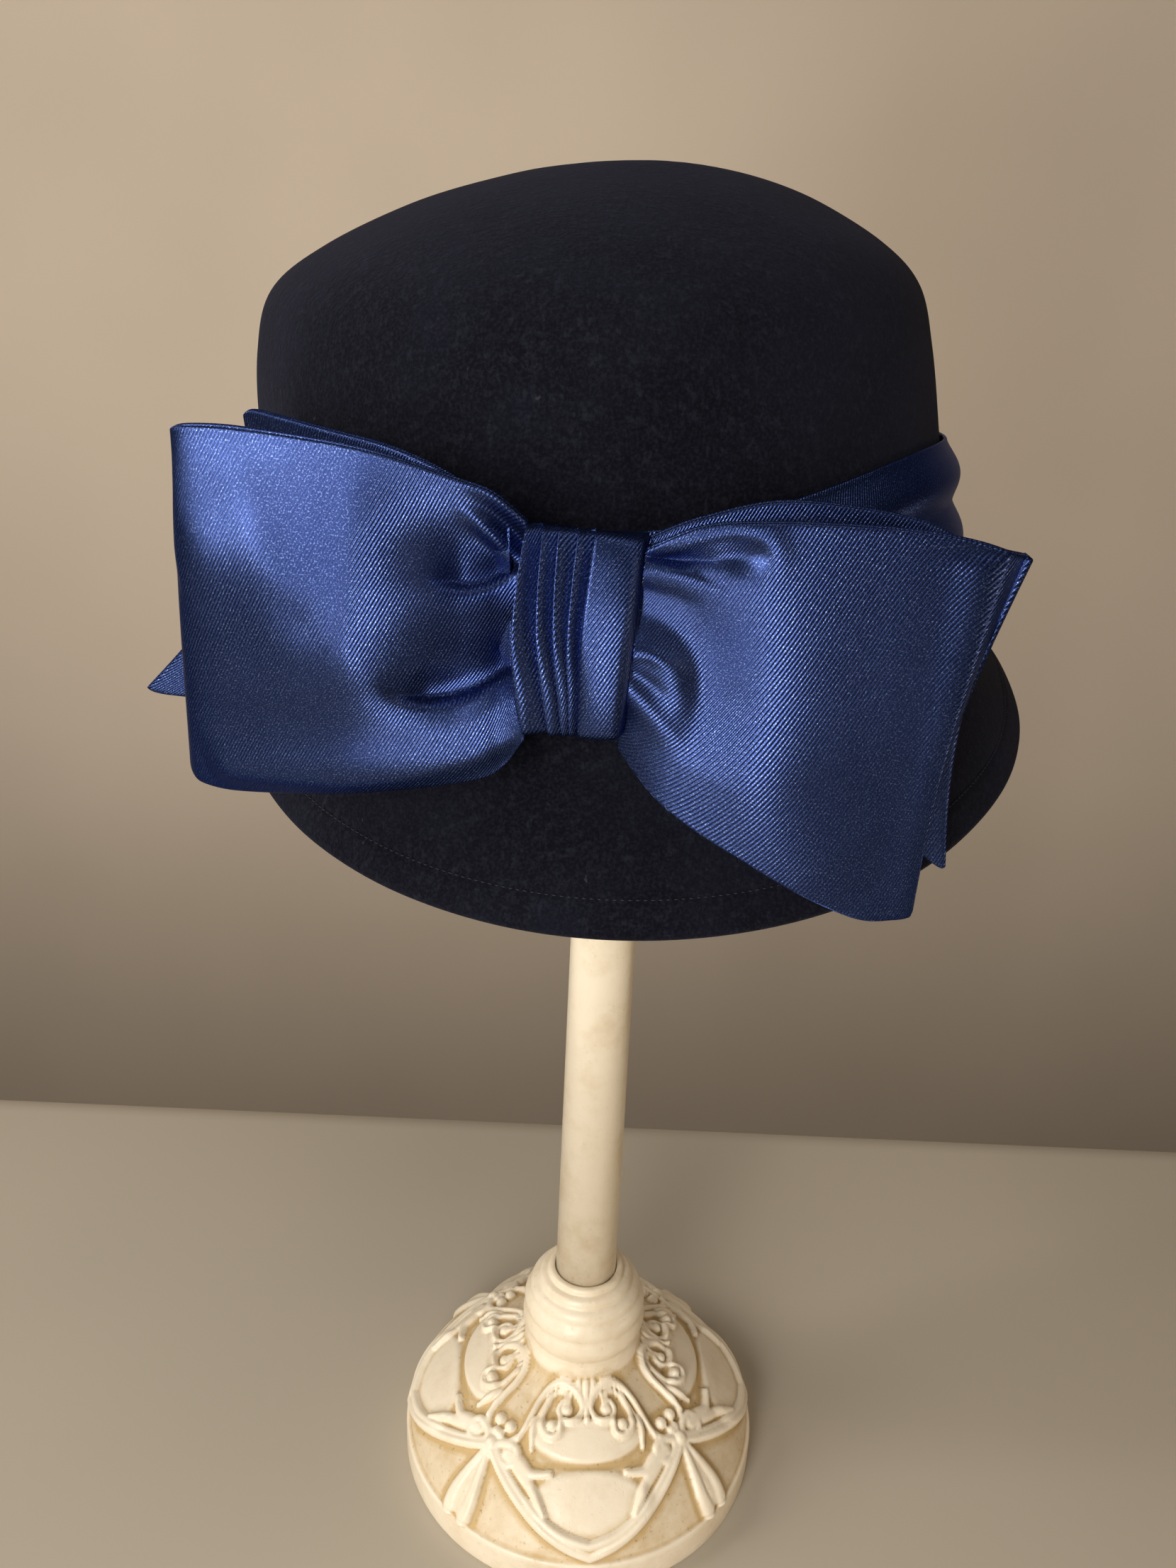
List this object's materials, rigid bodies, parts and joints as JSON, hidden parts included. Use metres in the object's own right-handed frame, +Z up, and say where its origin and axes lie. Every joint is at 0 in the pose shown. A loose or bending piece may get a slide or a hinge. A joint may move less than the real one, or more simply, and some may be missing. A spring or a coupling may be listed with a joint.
{
  "type": "fedora hat with a satin band and bow, on a hat stand",
  "caption": "Dark felt hat with a rounded, lightly creased crown, a short turned-down brim, a draped satin band and a large satin bow in front, on a domed resin stand.",
  "frame": {"origin": "centre of the underside of the stand's base", "axes": "+Z up, -Y towards the front of the hat where the bow is, +X to the viewer's right"},
  "size_m": [0.2097, 0.2395, 0.4107],
  "materials": {
    "felt": "matt, fuzzy wool felt",
    "satin": "polyester satin with a directional sheen",
    "resin": "semi-gloss cast resin, painted cream"
  },
  "bodies": {
    "root": {"stand_base": "resin", "stand_post": "resin", "stand_cap": "resin", "felt_hood": "felt", "satin_band": "satin", "bow_knot": "satin", "bow_loop_left": "satin", "bow_loop_right": "satin", "bow_rear_left": "satin", "bow_rear_right": "satin"}
  },
  "joints": []
}
